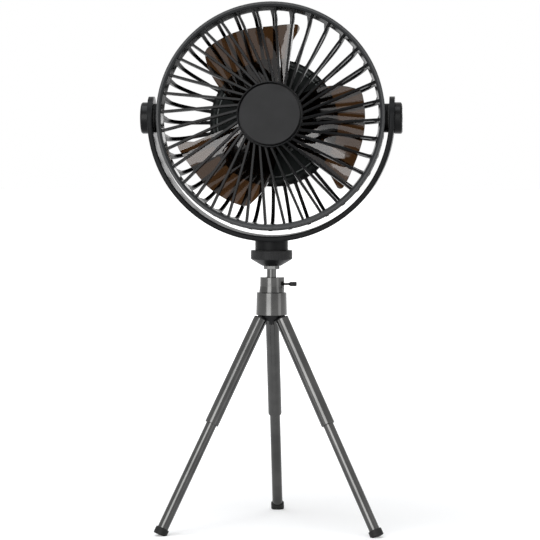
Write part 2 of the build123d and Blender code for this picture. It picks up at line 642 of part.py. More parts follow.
def make_button(height):
    """Round button with a retaining flange inside the cover, at a height above the fan axis."""
    with BuildPart() as button:
        with BuildSketch(HEAD.offset(COVER_BACK + 2 + RUN)):
            with Locations((0, height)):
                Circle(BUTTON_RADIUS + 1.2)
        extrude(amount=1.0)
        with BuildSketch(HEAD.offset(COVER_BACK + 2 + RUN)):
            with Locations((0, height)):
                Circle(BUTTON_RADIUS)
        extrude(amount=-3.2)
        fillet(button.edges().group_by(FAN_AXIS)[0], 0.6)
    return button


power_button = make_button(BUTTON_OFFSET)
save(power_button, "power_button")
light_button = make_button(-BUTTON_OFFSET)
save(light_button, "light_button")

# ---------------------------------------------------------------- pivots
PAD_FACE = BRACKET_INNER + BRACKET_WALL


def pivot_cap(side):
    """Round knob whose stub runs through the bracket arm to the head's lug."""
    with BuildPart() as knob:
        with BuildSketch(ACROSS.offset(side * (PAD_FACE + RUN))):
            Circle(CAP_KNOB_RADIUS)
        extrude(amount=side * (CAP_KNOB_FACE - PAD_FACE - RUN))
        fillet(knob.edges().group_by(Axis.X)[-1 if side > 0 else 0], 1.6)
        with BuildSketch(ACROSS.offset(side * LUG_FACE)):
            Circle(PIVOT_STUB)
        extrude(amount=side * (PAD_FACE + 1 - LUG_FACE))
        with BuildSketch(ACROSS.offset(side * LUG_FACE)):
            Circle(SHAFT_RADIUS)
        extrude(amount=side * 20, mode=Mode.SUBTRACT)
        with BuildSketch(ACROSS.offset(side * (CAP_KNOB_FACE - 2.5))):
            Circle(3.2)
        extrude(amount=side * 5, mode=Mode.SUBTRACT)
    return knob


pivot_cap_left = pivot_cap(-1)
save(pivot_cap_left, "pivot_cap_left")
pivot_cap_right = pivot_cap(1)
save(pivot_cap_right, "pivot_cap_right")

with BuildPart() as pivot_screws:
    for side in (1, -1):
        with BuildSketch(ACROSS.offset(side * (LUG_FACE - 4.0))):
            Circle(SHAFT_RADIUS)
        extrude(amount=side * (CAP_KNOB_FACE - 2.5 - LUG_FACE + 4.0))
        with BuildSketch(ACROSS.offset(side * (CAP_KNOB_FACE - 2.5))):
            Circle(3.0)
            RegularPolygon(1.5, 6, mode=Mode.SUBTRACT)
        extrude(amount=side * 1.8)
save(pivot_screws, "pivot_screws")

with BuildPart() as pivot_washers:
    for side in (1, -1):
        extrude(annulus(ACROSS.offset(side * LUG_FACE), LUG_RADIUS, PIVOT_STUB),
                amount=side * (BRACKET_INNER - RUN - LUG_FACE))
save(pivot_washers, "pivot_washers")

# ---------------------------------------------------------------- bracket
BAND_MIDDLE = BRACKET_INNER + BRACKET_WALL / 2
ARM_TOP = BRACKET_WIDTH / 2
BOSS_HEIGHT = PIVOT_HEIGHT - BRACKET_INNER - BOSS_BOTTOM
INSERT_RADIUS = 4.5
INSERT_LENGTH = 9.0

with BuildPart() as bracket:
    with BuildLine(FRONT):
        Line((-BAND_MIDDLE, ARM_TOP), (-BAND_MIDDLE, 0))
        ThreePointArc((-BAND_MIDDLE, 0), (0, -BAND_MIDDLE), (BAND_MIDDLE, 0))
        Line((BAND_MIDDLE, 0), (BAND_MIDDLE, ARM_TOP))
    arm_end = PIVOT + Vector(-BAND_MIDDLE, 0, ARM_TOP)
    with BuildSketch(Plane(origin=arm_end, x_dir=(1, 0, 0), z_dir=(0, 0, -1))):
        RectangleRounded(BRACKET_WALL, BRACKET_WIDTH, 1.3)
    sweep()
    # the arm ends are round about the pivot
    with BuildSketch(ACROSS):
        Rectangle(BRACKET_WIDTH + 2, ARM_TOP + 2, align=(Align.CENTER, Align.MIN))
        Circle(ARM_TOP, mode=Mode.SUBTRACT)
    extrude(amount=PAD_FACE + 5, both=True, mode=Mode.SUBTRACT)
    for side in (1, -1):
        with BuildSketch(ACROSS.offset(side * (PAD_FACE - 1.2))):
            Circle(CAP_KNOB_RADIUS - 0.4)
        extrude(amount=side * 1.2)
        with BuildSketch(ACROSS.offset(side * BRACKET_INNER)):
            Circle(LUG_RADIUS + 0.45)
        extrude(amount=-side * 4, mode=Mode.SUBTRACT)
        with BuildSketch(ACROSS.offset(side * (BRACKET_INNER - 2))):
            Circle(PIVOT_STUB + RUN)
        extrude(amount=side * 10, mode=Mode.SUBTRACT)
    # round boss for the tripod thread
    with BuildSketch(at_height(BOSS_BOTTOM)):
        Circle(BOSS_RADIUS)
    extrude(amount=BOSS_HEIGHT - BRACKET_WALL / 2)
    with BuildSketch(at_height(BOSS_BOTTOM)):
        Circle(INSERT_RADIUS)
    extrude(amount=INSERT_LENGTH, mode=Mode.SUBTRACT)
save(bracket, "bracket")

with BuildPart() as thread_insert:
    extrude(annulus(at_height(BOSS_BOTTOM), INSERT_RADIUS, STUD_RADIUS + RUN), amount=INSERT_LENGTH)
save(thread_insert, "thread_insert")

# ---------------------------------------------------------------- lock disc and ball stem
with BuildPart() as lock_disc:
    with BuildSketch(COLUMN_SIDE):
        Polygon((STUD_RADIUS + RUN, DISC_BOTTOM), (7.2, DISC_BOTTOM), (DISC_RADIUS - 0.7, DISC_EDGE - 0.3),
                (DISC_RADIUS, DISC_EDGE + 0.3), (DISC_RADIUS, DISC_TOP - 0.3), (DISC_RADIUS - 0.3, DISC_TOP),
                (STUD_RADIUS + RUN, DISC_TOP), align=None)
    revolve(axis=COLUMN_AXIS)
    with BuildSketch(at_height(DISC_EDGE - 1.0)):
        with PolarLocations(DISC_RADIUS + 0.25, 72):
            Circle(0.45)
    extrude(amount=10, mode=Mode.SUBTRACT)
save(lock_disc, "lock_disc")

with BuildPart() as disc_pad:
    extrude(annulus(at_height(DISC_TOP), 11.9, 3.6), amount=BOSS_BOTTOM - RUN - DISC_TOP)
save(disc_pad, "disc_pad")

NECK_START = BALL_HEIGHT + (BALL_RADIUS ** 2 - NECK_RADIUS ** 2) ** 0.5
STUD_TOP = 216.5
with BuildPart() as ball_stem:
    with BuildSketch(COLUMN_SIDE):
        with BuildLine():
            ThreePointArc((0, BALL_HEIGHT - BALL_RADIUS), (BALL_RADIUS, BALL_HEIGHT),
                          (NECK_RADIUS, NECK_START))
            Polyline((NECK_RADIUS, NECK_START), (NECK_RADIUS, FLANGE_TOP), (STUD_RADIUS, FLANGE_TOP),
                     (STUD_RADIUS, STUD_TOP - 0.6), (STUD_RADIUS - 0.6, STUD_TOP), (0, STUD_TOP),
                     (0, BALL_HEIGHT - BALL_RADIUS))
        make_face()
    revolve(axis=COLUMN_AXIS)
    with BuildSketch(at_height(FLANGE_BOTTOM)):
        RegularPolygon(FLANGE_RADIUS, 6)
    extrude(amount=FLANGE_TOP - FLANGE_BOTTOM)
save(ball_stem, "ball_stem")

# ---------------------------------------------------------------- ball housing
SPIGOT_RADIUS = 7.5
SPIGOT_BOTTOM = 169.0
CAVITY = BALL_RADIUS + 0.1
NOTCH = NECK_RADIUS + 0.25
notch_plane = Plane(origin=(0, AXIS_Y, BALL_HEIGHT), x_dir=(1, 0, 0), z_dir=(0, -1, 0))

with BuildSketch(notch_plane) as notch:
    Circle(NOTCH)
    Rectangle(2 * NOTCH, 10, align=(Align.CENTER, Align.MIN))

with BuildPart() as ball_housing:
    with BuildSketch(COLUMN_SIDE):
        with BuildLine():
            Polyline((0, SPIGOT_BOTTOM), (SPIGOT_RADIUS, SPIGOT_BOTTOM), (SPIGOT_RADIUS, HOUSING_BASE),
                     (9.3, HOUSING_BASE), (9.2, 178.4), (8.7, 181.4), (8.6, HOUSING_TOP),
                     (CAVITY, HOUSING_TOP), (CAVITY, BALL_HEIGHT))
            ThreePointArc((CAVITY, BALL_HEIGHT),
                          (CAVITY * cos(radians(45)), BALL_HEIGHT - CAVITY * sin(radians(45))),
                          (0, BALL_HEIGHT - CAVITY))
            Line((0, BALL_HEIGHT - CAVITY), (0, SPIGOT_BOTTOM))
        make_face()
    revolve(axis=COLUMN_AXIS)
    extrude(notch.sketch, amount=12, dir=(0, 1, 0), mode=Mode.SUBTRACT)
    with BuildSketch(at_height(HOUSING_BASE)):
        Polygon((CAVITY + 1, -LOCK_PAD_FOOT / 2), (LOCK_PAD_ROOT, -LOCK_PAD_FOOT / 2),
                (LOCK_PAD, -LOCK_PAD_FLAT / 2), (LOCK_PAD, LOCK_PAD_FLAT / 2),
                (LOCK_PAD_ROOT, LOCK_PAD_FOOT / 2), (CAVITY + 1, LOCK_PAD_FOOT / 2), align=None)
    extrude(amount=HOUSING_TOP - HOUSING_BASE)
    with BuildSketch(Plane(origin=(0, AXIS_Y, LOCK_HEIGHT), x_dir=(0, 1, 0), z_dir=(1, 0, 0))):
        Circle(0.95)
    extrude(amount=12, mode=Mode.SUBTRACT)
    with BuildSketch(at_height(SPIGOT_BOTTOM)):
        Circle(SHAFT_RADIUS)
    extrude(amount=5.0, mode=Mode.SUBTRACT)
save(ball_housing, "ball_housing")

with BuildPart() as ball_ring:
    extrude(annulus(at_height(186.2), CAVITY, 4.9), amount=HOUSING_TOP - 186.2)
    extrude(notch.sketch, amount=12, dir=(0, 1, 0), mode=Mode.SUBTRACT)
save(ball_ring, "ball_ring")

CAVITY_TOP = 168.6
WASHER_TOP = CAVITY_TOP - 0.1
with BuildPart() as pan_washer:
    extrude(annulus(at_height(WASHER_TOP - 0.6), 9.6, SHAFT_RADIUS), amount=0.6)
save(pan_washer, "pan_washer")

with BuildPart() as pan_screw:
    with BuildSketch(at_height(WASHER_TOP - 0.6)):
        Circle(SHAFT_RADIUS)
    extrude(amount=5.4)
    with BuildSketch(at_height(WASHER_TOP - 0.6)):
        Circle(2.8)
        RegularPolygon(1.4, 6, mode=Mode.SUBTRACT)
    extrude(amount=-2.2)
save(pan_screw, "pan_screw")

# ---------------------------------------------------------------- lock screw
lock_side = Plane(origin=(0, AXIS_Y, LOCK_HEIGHT), x_dir=(1, 0, 0), z_dir=(0, -1, 0))
LOCK_AXIS = Axis((0, AXIS_Y, LOCK_HEIGHT), (1, 0, 0))
LOCK_SHANK = 0.9
with BuildPart() as lock_screw:
    with BuildSketch(lock_side):
        Polygon((6.0, 0), (6.0, LOCK_SHANK), (18.0, LOCK_SHANK), (18.0, 0), align=None)
    revolve(axis=LOCK_AXIS)
save(lock_screw, "lock_screw")

with BuildPart() as lock_knob:
    with BuildSketch(lock_side):
        Polygon((13.0, LOCK_SHANK), (13.2, 1.0), (14.2, 1.65), (18.4, 1.65), (18.8, 1.3), (18.8, 0),
                (18.0, 0), (18.0, LOCK_SHANK), align=None)
    revolve(axis=LOCK_AXIS)
    with BuildSketch(Plane(origin=(14.4, AXIS_Y, LOCK_HEIGHT), x_dir=(0, 1, 0), z_dir=(1, 0, 0))):
        with PolarLocations(1.75, 16):
            Circle(0.18)
    extrude(amount=5, mode=Mode.SUBTRACT)
save(lock_knob, "lock_knob")

# ---------------------------------------------------------------- crown and hinge block
with BuildPart() as crown:
    with BuildSketch(COLUMN_SIDE) as crown_profile:
        Polygon((SPIGOT_RADIUS + RUN, CAVITY_TOP), (SPIGOT_RADIUS + RUN, CROWN_TOP), (11.24, CROWN_TOP),
                (11.75, CROWN_BOTTOM), (CROWN_BORE, CROWN_BOTTOM), (CROWN_BORE, CAVITY_TOP), align=None)
        fillet(crown_profile.vertices().sort_by_distance((11.24, CROWN_TOP))[0], 0.5)
    revolve(axis=COLUMN_AXIS)
save(crown, "crown")


def outward(azimuth):
    """Level direction away from the tripod axis."""
    return Vector(cos(radians(azimuth)), sin(radians(azimuth)), 0)


def sideways(azimuth):
    """Level direction along a leg's hinge pin."""
    return Vector(-sin(radians(azimuth)), cos(radians(azimuth)), 0)


def pin_point(azimuth):
    """Middle of a leg's hinge pin."""
    return Vector(0, AXIS_Y, HINGE_HEIGHT) + outward(azimuth) * HINGE_RADIUS


def leg_direction(azimuth, lean=LEG_ANGLE):
    """Direction down a leg that leans out by this angle."""
    return outward(azimuth) * sin(radians(lean)) - Vector(0, 0, 1) * cos(radians(lean))


BLOCK_TOP = 165.3
NOSE_BOTTOM = 152.4
NOSE_RADIUS = 5.0
SLOT_WIDTH = 5.2
PIN_RADIUS = 1.0
PIN_LENGTH = 9.0
with BuildPart() as hinge_block:
    with BuildSketch(COLUMN_SIDE):
        Polygon((0, BLOCK_TOP), (CROWN_BORE, BLOCK_TOP), (CROWN_BORE, CROWN_BOTTOM + 0.2),
                (NOSE_RADIUS, NOSE_BOTTOM), (0, NOSE_BOTTOM), align=None)
    revolve(axis=COLUMN_AXIS)
    for azimuth in LEG_AZIMUTHS.values():
        slot_plane = Plane(origin=(0, AXIS_Y, 150), x_dir=outward(azimuth), z_dir=(0, 0, 1))
        with BuildSketch(slot_plane):
            with Locations((2.9, 0)):
                Rectangle(12, SLOT_WIDTH, align=(Align.MIN, Align.CENTER))
        extrude(amount=20, mode=Mode.SUBTRACT)
        # room for the tube's top end at every lean from folded to open
        for share in range(5):
            lean = leg_direction(azimuth, LEG_ANGLE * share / 4)
            tube_end = Plane(origin=pin_point(azimuth) + lean * (TUBE_START - 0.9), z_dir=lean)
            with BuildSketch(tube_end):
                Circle(TUBE_RADIUS + 0.3)
            extrude(amount=15, mode=Mode.SUBTRACT)
        with BuildSketch(Plane(origin=pin_point(azimuth), x_dir=(0, 0, 1), z_dir=sideways(azimuth))):
            Circle(PIN_RADIUS)
        extrude(amount=PIN_LENGTH / 2, both=True, mode=Mode.SUBTRACT)
save(hinge_block, "hinge_block")

with BuildPart() as hinge_pins:
    for azimuth in LEG_AZIMUTHS.values():
        with BuildSketch(Plane(origin=pin_point(azimuth), x_dir=(0, 0, 1), z_dir=sideways(azimuth))):
            Circle(PIN_RADIUS)
        extrude(amount=PIN_LENGTH / 2, both=True)
save(hinge_pins, "hinge_pins")

# ---------------------------------------------------------------- legs
PLUG_CAP = 5.9            # the plug's flange starts here and covers the tube's end
EYE_WIDTH = 5.0
for name, azimuth in LEG_AZIMUTHS.items():
    leg = Plane(origin=pin_point(azimuth), x_dir=sideways(azimuth), z_dir=leg_direction(azimuth))
    eye = Plane(origin=pin_point(azimuth), x_dir=leg_direction(azimuth), z_dir=sideways(azimuth))

    with BuildPart() as leg_plug:
        with BuildSketch(eye):
            Circle(2.9)
            Rectangle(PLUG_CAP + 0.3, 4.0, align=(Align.MIN, Align.CENTER))
            Circle(PIN_RADIUS + RUN, mode=Mode.SUBTRACT)
        extrude(amount=EYE_WIDTH / 2, both=True)
        with BuildSketch(leg.offset(PLUG_CAP)):
            Circle(TUBE_RADIUS - 0.3)
        extrude(amount=TUBE_START - PLUG_CAP)
        with BuildSketch(leg.offset(TUBE_START)):
            Circle(TUBE_BORE)
        extrude(amount=5.4)
    save(leg_plug, f"leg_plug_{name}")

    with BuildPart() as upper_tube:
        extrude(annulus(leg.offset(TUBE_START), TUBE_RADIUS, TUBE_BORE), amount=TUBE_END - TUBE_START)
        extrude(annulus(leg.offset(TUBE_END - CRIMP_LENGTH), TUBE_BORE, LOWER_RADIUS + RUN),
                amount=CRIMP_LENGTH)
        fillet(upper_tube.edges().group_by(Axis(leg.origin, leg.z_dir))[-1].sort_by(SortBy.LENGTH)[-1], 0.5)
    save(upper_tube, f"upper_tube_{name}")

    with BuildPart() as lower_tube:
        extrude(annulus(leg.offset(LOWER_START), LOWER_RADIUS, LOWER_RADIUS - 0.7),
                amount=LOWER_END - LOWER_START)
        extrude(annulus(leg.offset(LOWER_START), TUBE_BORE - RUN, LOWER_RADIUS),
                amount=TUBE_END - CRIMP_LENGTH - RUN - LOWER_START)
    save(lower_tube, f"lower_tube_{name}")

    with BuildPart() as foot:
        with BuildSketch(leg.offset(FOOT_START)):
            Circle(FOOT_RADIUS)
        extrude(amount=FOOT_END - FOOT_START)
        fillet(foot.edges().filter_by(GeomType.CIRCLE), 0.7)
        with BuildSketch(leg.offset(FOOT_START)):
            Circle(LOWER_RADIUS)
        extrude(amount=LOWER_END - FOOT_START, mode=Mode.SUBTRACT)
        split(bisect_by=Plane.XY, keep=Keep.TOP)
    save(foot, f"foot_{name}")
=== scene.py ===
import json
from math import cos, radians, sin

import bpy
from mathutils import Matrix, Vector


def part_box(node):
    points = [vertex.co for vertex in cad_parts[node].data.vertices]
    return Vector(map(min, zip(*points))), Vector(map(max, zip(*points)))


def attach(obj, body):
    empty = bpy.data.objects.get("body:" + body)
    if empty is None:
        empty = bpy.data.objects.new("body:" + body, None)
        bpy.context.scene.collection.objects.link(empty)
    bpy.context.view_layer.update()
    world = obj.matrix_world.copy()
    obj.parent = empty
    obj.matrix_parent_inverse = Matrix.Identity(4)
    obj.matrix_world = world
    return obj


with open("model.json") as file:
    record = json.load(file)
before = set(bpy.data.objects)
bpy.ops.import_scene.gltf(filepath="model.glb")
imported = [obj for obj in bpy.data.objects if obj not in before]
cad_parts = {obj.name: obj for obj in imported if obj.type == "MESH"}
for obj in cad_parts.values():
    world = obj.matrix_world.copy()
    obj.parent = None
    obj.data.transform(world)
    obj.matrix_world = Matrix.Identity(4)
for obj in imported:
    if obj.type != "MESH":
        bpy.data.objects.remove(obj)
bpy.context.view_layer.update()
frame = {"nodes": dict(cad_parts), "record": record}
nodes = frame["nodes"]
scene = bpy.context.scene

AXIS_Y = -0.0221                       # tripod axis
PIVOT = Vector((0, AXIS_Y, 0.3069))
TILT = radians(7.5)
FORWARD = Vector((0, -cos(TILT), sin(TILT)))
UP = Vector((0, sin(TILT), cos(TILT)))
RIGHT = Vector((1, 0, 0))


def head_point(x, v, d):
    """A point given across, up and forward of the fan's pivot, in metres."""
    return PIVOT + RIGHT * x + UP * v + FORWARD * d


# ---------------------------------------------------------------- materials
def base(name):
    """A new material, its tree, its Principled shader and the object coordinates."""
    mat = bpy.data.materials.new(name)
    mat.use_nodes = True
    tree = mat.node_tree
    shader = tree.nodes["Principled BSDF"]
    coords = tree.nodes.new("ShaderNodeTexCoord")
    return mat, tree, shader, coords.outputs["Object"]


def noise(tree, coords, scale, detail=3.0, stretch=None, rough=0.5):
    """A noise texture, by features per metre, stretched if asked."""
    if stretch:
        mapping = tree.nodes.new("ShaderNodeMapping")
        mapping.inputs["Scale"].default_value = stretch
        tree.links.new(coords, mapping.inputs["Vector"])
        coords = mapping.outputs["Vector"]
    tex = tree.nodes.new("ShaderNodeTexNoise")
    tex.inputs["Scale"].default_value = scale
    tex.inputs["Detail"].default_value = detail
    tex.inputs["Roughness"].default_value = rough
    tree.links.new(coords, tex.inputs["Vector"])
    return tex.outputs["Fac"]


def ramp(tree, value, low, high, start, end):
    """Maps a value's span low..high to start..end."""
    node = tree.nodes.new("ShaderNodeMapRange")
    for key, number in zip(("From Min", "From Max", "To Min", "To Max"), (low, high, start, end)):
        node.inputs[key].default_value = number
    tree.links.new(value, node.inputs["Value"])
    return node.outputs["Result"]


def calc(tree, operation, first, second):
    """A math node's result from two sockets."""
    node = tree.nodes.new("ShaderNodeMath")
    node.operation = operation
    tree.links.new(first, node.inputs[0])
    tree.links.new(second, node.inputs[1])
    return node.outputs["Value"]


def blend_colors(tree, factor, first, second):
    """Colour between two by a factor; either may be a socket."""
    mix = tree.nodes.new("ShaderNodeMix")
    mix.data_type = "RGBA"
    tree.links.new(factor, mix.inputs["Factor"])
    for socket, color in ((mix.inputs[6], first), (mix.inputs[7], second)):
        if isinstance(color, bpy.types.NodeSocket):
            tree.links.new(color, socket)
        else:
            socket.default_value = (*color, 1)
    return mix.outputs[2]


def bump(tree, shader, height, distance, strength=1.0, normal=None):
    """Adds a bump of that real height, in metres, to the shader."""
    node = tree.nodes.new("ShaderNodeBump")
    node.inputs["Distance"].default_value = distance
    node.inputs["Strength"].default_value = strength
    tree.links.new(height, node.inputs["Height"])
    if normal:
        tree.links.new(normal, node.inputs["Normal"])
    tree.links.new(node.outputs["Normal"], shader.inputs["Normal"])


EDGE_COSINE = 0.75                     # a rounded normal turned this far from the flat one is fully an edge


def edge_mask(tree, radius):
    """1 along sharp edges, 0 on open faces, and the rounded normal."""
    bevel = tree.nodes.new("ShaderNodeBevel")
    bevel.samples = 4
    bevel.inputs["Radius"].default_value = radius
    geometry = tree.nodes.new("ShaderNodeNewGeometry")
    dot = tree.nodes.new("ShaderNodeVectorMath")
    dot.operation = "DOT_PRODUCT"
    tree.links.new(bevel.outputs["Normal"], dot.inputs[0])
    tree.links.new(geometry.outputs["Normal"], dot.inputs[1])
    return ramp(tree, dot.outputs["Value"], 1.0, EDGE_COSINE, 0.0, 1.0), bevel.outputs["Normal"]


def plastic(name, dark, light, rough, spread=0.06, grain=2600, depth=0.00002, edge_scuff_and_sheen=None, radius=0.0004,
            specular=0.5):
    """Moulded plastic: blotchy colour, uneven gloss, fine grain, and paler edges if a colour is given: scuffs
    on most parts, a painted highlight on the housing.
    """
    mat, tree, shader, coords = base(name)
    color = blend_colors(tree, ramp(tree, noise(tree, coords, 45), 0.35, 0.65, 0, 1), dark, light)
    edges, normal = edge_mask(tree, radius)
    # paler edges: scuffs, and on the housing a painted highlight along its rims
    if edge_scuff_and_sheen:
        scuff_and_sheen_patches = ramp(tree, noise(tree, coords, 160), 0.4, 0.62, 0.1, 0.8)
        color = blend_colors(tree, calc(tree, "MULTIPLY", edges, scuff_and_sheen_patches), color, edge_scuff_and_sheen)
    tree.links.new(color, shader.inputs["Base Color"])
    smudges = ramp(tree, noise(tree, coords, 70, 5), 0.3, 0.7, rough - spread, rough + spread)
    tree.links.new(smudges, shader.inputs["Roughness"])
    shader.inputs["Specular IOR Level"].default_value = specular
    bump(tree, shader, noise(tree, coords, grain, 2), depth, 0.6, normal)
    return mat


def metal(name, dark, light, rough, spread=0.03, stretch=(1, 1, 0.04), scale=900, depth=0.000004,
          radius=0.0003):
    """Plated metal: drawn lines along the tube, faint smears, rounded edges."""
    mat, tree, shader, coords = base(name)
    shader.inputs["Metallic"].default_value = 1.0
    lines = noise(tree, coords, scale, 3, stretch)
    color = blend_colors(tree, ramp(tree, noise(tree, coords, 60, 4), 0.35, 0.65, 0, 1), dark, light)
    tree.links.new(color, shader.inputs["Base Color"])
    smears = ramp(tree, noise(tree, coords, 130, 5), 0.3, 0.7, rough - spread, rough + spread)
    tree.links.new(smears, shader.inputs["Roughness"])
    normal = edge_mask(tree, radius)[1]
    bump(tree, shader, lines, depth, 0.5, normal)
    return mat


def smoke():
    """Smoky brown see-through plastic, glossy, with its edges painted near black as shade for their dark
    outline.
    """
    mat, tree, shader, coords = base("smoky_blade")
    color = blend_colors(tree, ramp(tree, noise(tree, coords, 24), 0.3, 0.7, 0, 1),
                         (0.038, 0.0172, 0.0062), (0.045, 0.0215, 0.0084))
    edges, normal = edge_mask(tree, 0.0006)
    # edges painted near black: painted shade standing in for the dark outline the edges show
    color = blend_colors(tree, edges, color, (0.002, 0.0015, 0.001))
    tree.links.new(color, shader.inputs["Base Color"])
    shader.inputs["Transmission Weight"].default_value = 0.97
    shader.inputs["IOR"].default_value = 1.5
    shader.inputs["Specular IOR Level"].default_value = 0.3
    tree.links.new(ramp(tree, noise(tree, coords, 60, 4), 0.3, 0.7, 0.02, 0.05), shader.inputs["Roughness"])
    bump(tree, shader, noise(tree, coords, 60, 1), 0.000003, 0.15)
    return mat


def frosted(name, color):
    """Milky light-diffusing plastic with fine prisms."""
    mat, tree, shader, coords = base(name)
    tint = blend_colors(tree, ramp(tree, noise(tree, coords, 120), 0.3, 0.7, 0, 1), color,
                        tuple(c * 0.94 for c in color))
    tree.links.new(tint, shader.inputs["Base Color"])
    shader.inputs["Subsurface Weight"].default_value = 0.4
    shader.inputs["Subsurface Scale"].default_value = 0.002
    tree.links.new(ramp(tree, noise(tree, coords, 300), 0.3, 0.7, 0.32, 0.5), shader.inputs["Roughness"])
    bump(tree, shader, noise(tree, coords, 1500, 2), 0.00004, 0.5)
    return mat


def vector_math(tree, operation, first, second=None):
    """A vector math node's result, from a socket and perhaps a fixed vector."""
    node = tree.nodes.new("ShaderNodeVectorMath")
    node.operation = operation
    tree.links.new(first, node.inputs[0])
    if second is not None:
        node.inputs[1].default_value = second
    return node.outputs["Value" if operation in ("LENGTH", "DOT_PRODUCT") else "Vector"]


STEP_RUN = 0.0003                      # a change of colour takes this distance


def paint_highlight_bands(mat, direction, steps):
    """Paints highlight bands into a material's colour past some reach from the fan's axis ("out") or forward
    of its pivot ("forward").

    The steps are (reach, colour), in metres.
    """
    tree = mat.node_tree
    shader = tree.nodes["Principled BSDF"]
    coords = tree.nodes["Texture Coordinate"].outputs["Object"]
    offset = vector_math(tree, "SUBTRACT", coords, PIVOT)
    if direction == "out":
        place = vector_math(tree, "LENGTH", vector_math(tree, "CROSS_PRODUCT", offset, FORWARD))
    else:
        place = vector_math(tree, "DOT_PRODUCT", offset, FORWARD)
    color = shader.inputs["Base Color"].links[0].from_socket
    for reach, highlight_color in steps:
        color = blend_colors(tree, ramp(tree, place, reach, reach + STEP_RUN, 0, 1), color, highlight_color)
    tree.links.new(color, shader.inputs["Base Color"])


BLACK = (0.0025, 0.0026, 0.0028)
SOFT_BLACK = (0.0055, 0.0058, 0.0062)
finishes = {
    "shell": plastic("satin_black_abs", BLACK, SOFT_BLACK, 0.27, 0.03, 2600, 0.000006, (0.02, 0.021, 0.0225),
                     specular=0.12),
    "cap": plastic("matt_grey_cap", (0.0185, 0.0185, 0.0188), (0.0224, 0.0224, 0.023), 0.62, 0.05, 3200,
                   0.00003, (0.05, 0.05, 0.05), specular=0.12),
    # the housing's paler edges are painted highlights for the thin light lines along its rims
    "housing": plastic("housing_black", (0.002, 0.0035, 0.0032), (0.0035, 0.0055, 0.005), 0.6, 0.06, 2000,
                       0.00001, (0.08, 0.088, 0.085), 0.0005, specular=0.12),
    "smoke": smoke(),
    "nickel": metal("dark_nickel", (0.07, 0.07, 0.069), (0.09, 0.0895, 0.088), 0.16),
    "hard_black": plastic("hard_black_nylon", (0.004, 0.004, 0.0045), (0.008, 0.008, 0.0085), 0.4, 0.08, 1800,
                          0.00003, (0.03, 0.03, 0.03), specular=0.2),
    "foot_rubber": plastic("foot_rubber", (0.008, 0.008, 0.008), (0.016, 0.016, 0.0155), 0.55, 0.1, 1400,
                           0.00006, (0.05, 0.049, 0.047), specular=0.2),
    "steel": metal("zinc_steel", (0.5, 0.5, 0.49), (0.62, 0.61, 0.6), 0.28, 0.08),
    "brass": metal("turned_brass", (0.55, 0.38, 0.15), (0.66, 0.47, 0.2), 0.25, 0.06),
    "copper": metal("copper_wire", (0.5, 0.2, 0.08), (0.62, 0.28, 0.12), 0.3, 0.06, (1, 0.1, 1), 2500,
                    0.00008),
    "magnet": plastic("sintered_magnet", (0.03, 0.03, 0.032), (0.06, 0.06, 0.062), 0.5, 0.1, 1500, 0.00005),
    "cell": plastic("cell_wrap", (0.008, 0.009, 0.011), (0.012, 0.013, 0.016), 0.35, 0.05, 900, 0.00002),
    "board": plastic("board_green", (0.01, 0.09, 0.035), (0.015, 0.12, 0.045), 0.35, 0.05, 1500, 0.00002),
    "lens": frosted("frosted_lens", (0.82, 0.82, 0.78)),
    "chip": frosted("chip_resin", (0.85, 0.68, 0.18)),
    "felt": plastic("fibre_washer", (0.02, 0.02, 0.02), (0.04, 0.04, 0.038), 0.85, 0.05, 1600, 0.00008),
}
for part in frame["record"]["subparts"]:
    mesh = nodes[part["node"]].data
    mesh.materials.clear()
    mesh.materials.append(finishes[part["material_slot"]])

# the front grille is a glossier moulding, and its rim has a pale band painted in as a highlight
LIP_REACH = 0.0815                     # the lip on the rim's inside starts here, from the fan's axis, painted a little lighter as a highlight
BEZEL_REACH = 0.0829                   # and its pale band here, a painted highlight
grille = plastic("front_grille_abs", BLACK, SOFT_BLACK, 0.18, 0.04, 2600, 0.000008, (0.012, 0.0126, 0.0135),
                 specular=0.1)
paint_highlight_bands(grille, "out", ((LIP_REACH, (0.02, 0.021, 0.022)), (BEZEL_REACH, (0.046, 0.047, 0.048))))
FACE_RELIEF = -0.0183                  # the housing's lip and window frames stand forward of this, and are painted pale there as a highlight
paint_highlight_bands(finishes["housing"], "forward", ((FACE_RELIEF, (0.13, 0.14, 0.137)),))
# the rear grille gets a darker copy of the black: painted shade, as it sits behind the front grille
painted_shade_black = plastic("painted_shade_black_abs", BLACK, BLACK, 0.4, 0.05, 2600, 0.00001, (0.006, 0.0062, 0.0066),
                specular=0.05)
arms = plastic("matt_black_bracket", (0.007, 0.0073, 0.0077), (0.0105, 0.0109, 0.0114), 0.36, 0.04, 2600,
               0.000008, (0.035, 0.036, 0.038), specular=0.06)
for node, finish in (("front_grille", grille), ("rear_grille", painted_shade_black), ("bracket", arms)):
    nodes[node].data.materials.clear()
    nodes[node].data.materials.append(finish)


# ---------------------------------------------------------------- fine moulded and cut detail
def wires(name, body, slot, runs, thickness):
    """One curve piece of round wires through the given points, riding on a body."""
    curve = bpy.data.curves.new(name, "CURVE")
    curve.dimensions = "3D"
    curve.bevel_depth = thickness / 2
    curve.bevel_resolution = 2
    curve.use_fill_caps = True
    for points in runs:
        spline = curve.splines.new("POLY")
        spline.points.add(len(points) - 1)
        for target, point in zip(spline.points, points):
            target.co = (*point, 1)
    curve.materials.append(finishes[slot])
    piece = bpy.data.objects.new(name, curve)
    scene.collection.objects.link(piece)
    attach(piece, body)


SAME_PLANE = 0.0001                    # corners this close in depth lie on one face


